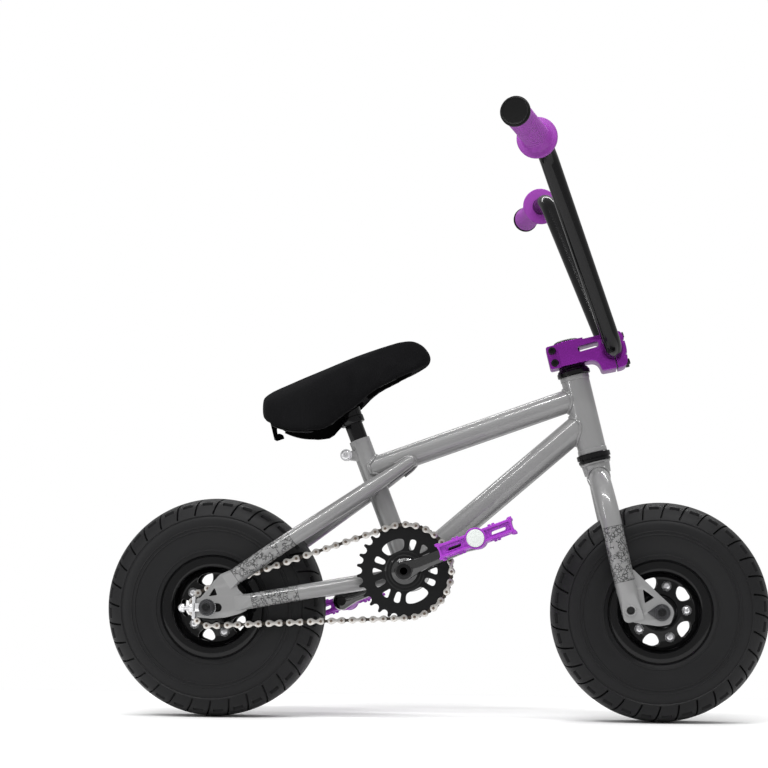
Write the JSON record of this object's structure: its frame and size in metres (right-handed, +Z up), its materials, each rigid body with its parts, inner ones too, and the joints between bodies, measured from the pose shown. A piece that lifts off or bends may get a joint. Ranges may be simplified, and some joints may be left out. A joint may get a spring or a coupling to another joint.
{
  "type": "bmx bike",
  "caption": "Small BMX bike with fat tyres, welded steel frame, padded seat, high handlebar, platform pedals and a chain drive.",
  "frame": {"origin": "on the ground, half-way between the two axles, in the bike's middle plane", "axes": "+X forwards, +Y to the rider's left, +Z up; the chain is on the -Y side"},
  "size_m": [0.817, 0.6238, 0.7018],
  "materials": {
    "frame_paint": "gloss",
    "black_gloss": "gloss",
    "black_plastic": "satin",
    "tyre_rubber": "matt",
    "tube_rubber": "matt",
    "purple_metal": "anodised gloss",
    "purple_rubber": "satin",
    "purple_plastic": "satin",
    "bright_steel": "polished",
    "chain_steel": "satin",
    "seat_fabric": "matt",
    "white_plastic": "gloss"
  },
  "bodies": {
    "frame": {"main_frame": "frame_paint", "seat_clamp_bolt": "bright_steel", "headset_cup_upper": "black_gloss", "headset_cup_lower": "black_gloss", "bb_cup_right": "black_gloss", "bb_cup_left": "black_gloss", "chain": "chain_steel", "tensioner_right": "bright_steel", "tensioner_left": "bright_steel", "rear_axle": "black_gloss", "rear_axle_nut_right": "black_gloss", "rear_axle_nut_left": "black_gloss"},
    "seat": {"seat_post": "black_gloss", "seat_base": "black_plastic", "seat_cover": "seat_fabric"},
    "rear_wheel": {"rear_tyre": "tyre_rubber", "rear_inner_tube": "tube_rubber", "rear_rim_right": "black_gloss", "rear_rim_left": "black_gloss", "rear_hub": "black_gloss", "rear_rim_bolt_1": "bright_steel", "rear_rim_bolt_2": "bright_steel", "rear_rim_bolt_3": "bright_steel", "rear_rim_bolt_4": "bright_steel", "rear_rim_bolt_5": "bright_steel"},
    "driver": {"rear_cog": "chain_steel"},
    "crank": {"chainring": "black_gloss", "crank_spindle": "black_gloss", "crank_arm_right": "black_gloss", "crank_arm_left": "black_gloss", "pedal_axle_right": "chain_steel", "pedal_axle_left": "chain_steel"},
    "pedal_right": {"pedal_right": "purple_plastic", "pedal_cap_right": "white_plastic"},
    "pedal_left": {"pedal_left": "purple_plastic", "pedal_cap_left": "white_plastic"},
    "fork": {"fork": "frame_paint", "headset_cover": "black_gloss", "stem_top_cap": "black_gloss", "stem_body": "purple_metal", "stem_faceplate": "purple_metal", "front_axle": "black_gloss", "front_axle_nut_right": "black_gloss", "front_axle_nut_left": "black_gloss"},
    "handlebar": {"handlebar": "black_gloss", "grip_right": "purple_rubber", "grip_left": "purple_rubber", "bar_plug_right": "black_plastic", "bar_plug_left": "black_plastic"},
    "front_wheel": {"front_tyre": "tyre_rubber", "front_inner_tube": "tube_rubber", "front_rim_right": "black_gloss", "front_rim_left": "black_gloss", "front_hub": "black_gloss", "front_rim_bolt_1": "bright_steel", "front_rim_bolt_2": "bright_steel", "front_rim_bolt_3": "bright_steel", "front_rim_bolt_4": "bright_steel", "front_rim_bolt_5": "bright_steel"}
  },
  "joints": [
    {"name": "steering", "type": "hinge", "parent": "frame", "child": "fork", "pos_m": [0.24169, 0, 0.12644], "axis": [-0.2419, 0, 0.9703], "continuous": true},
    {"name": "handlebar_roll", "type": "hinge", "parent": "fork", "child": "handlebar", "pos_m": [0.21425, 0, 0.45558], "axis": [0, 1, 0], "range_deg": [-20, 20]},
    {"name": "front_wheel_spin", "type": "hinge", "parent": "fork", "child": "front_wheel", "pos_m": [0.274, 0, 0.1345], "axis": [0, 1, 0], "continuous": true},
    {"name": "rear_wheel_spin", "type": "hinge", "parent": "frame", "child": "rear_wheel", "pos_m": [-0.274, 0, 0.1345], "axis": [0, 1, 0], "continuous": true},
    {"name": "crank_spin", "type": "hinge", "parent": "frame", "child": "crank", "pos_m": [-0.03648, 0, 0.181], "axis": [0, 1, 0], "continuous": true, "deforming": ["chain"]},
    {"name": "cog_spin", "type": "hinge", "parent": "frame", "child": "driver", "pos_m": [-0.274, 0, 0.1345], "axis": [0, 1, 0], "continuous": true, "deforming": ["chain"]},
    {"name": "pedal_right_spin", "type": "hinge", "parent": "crank", "child": "pedal_right", "pos_m": [0.05314, -0.1045, 0.21941], "axis": [0, 1, 0], "continuous": true},
    {"name": "pedal_left_spin", "type": "hinge", "parent": "crank", "child": "pedal_left", "pos_m": [-0.12609, 0.1045, 0.14259], "axis": [0, 1, 0], "continuous": true},
    {"name": "seat_height", "type": "slide", "parent": "frame", "child": "seat", "axis": [-0.3616, 0, 0.9323], "range_m": [-0.014, 0.03]}
  ],
  "couplings": [
    {"joint": "cog_spin", "follows": "crank_spin", "ratio": 2.5455}
  ]
}
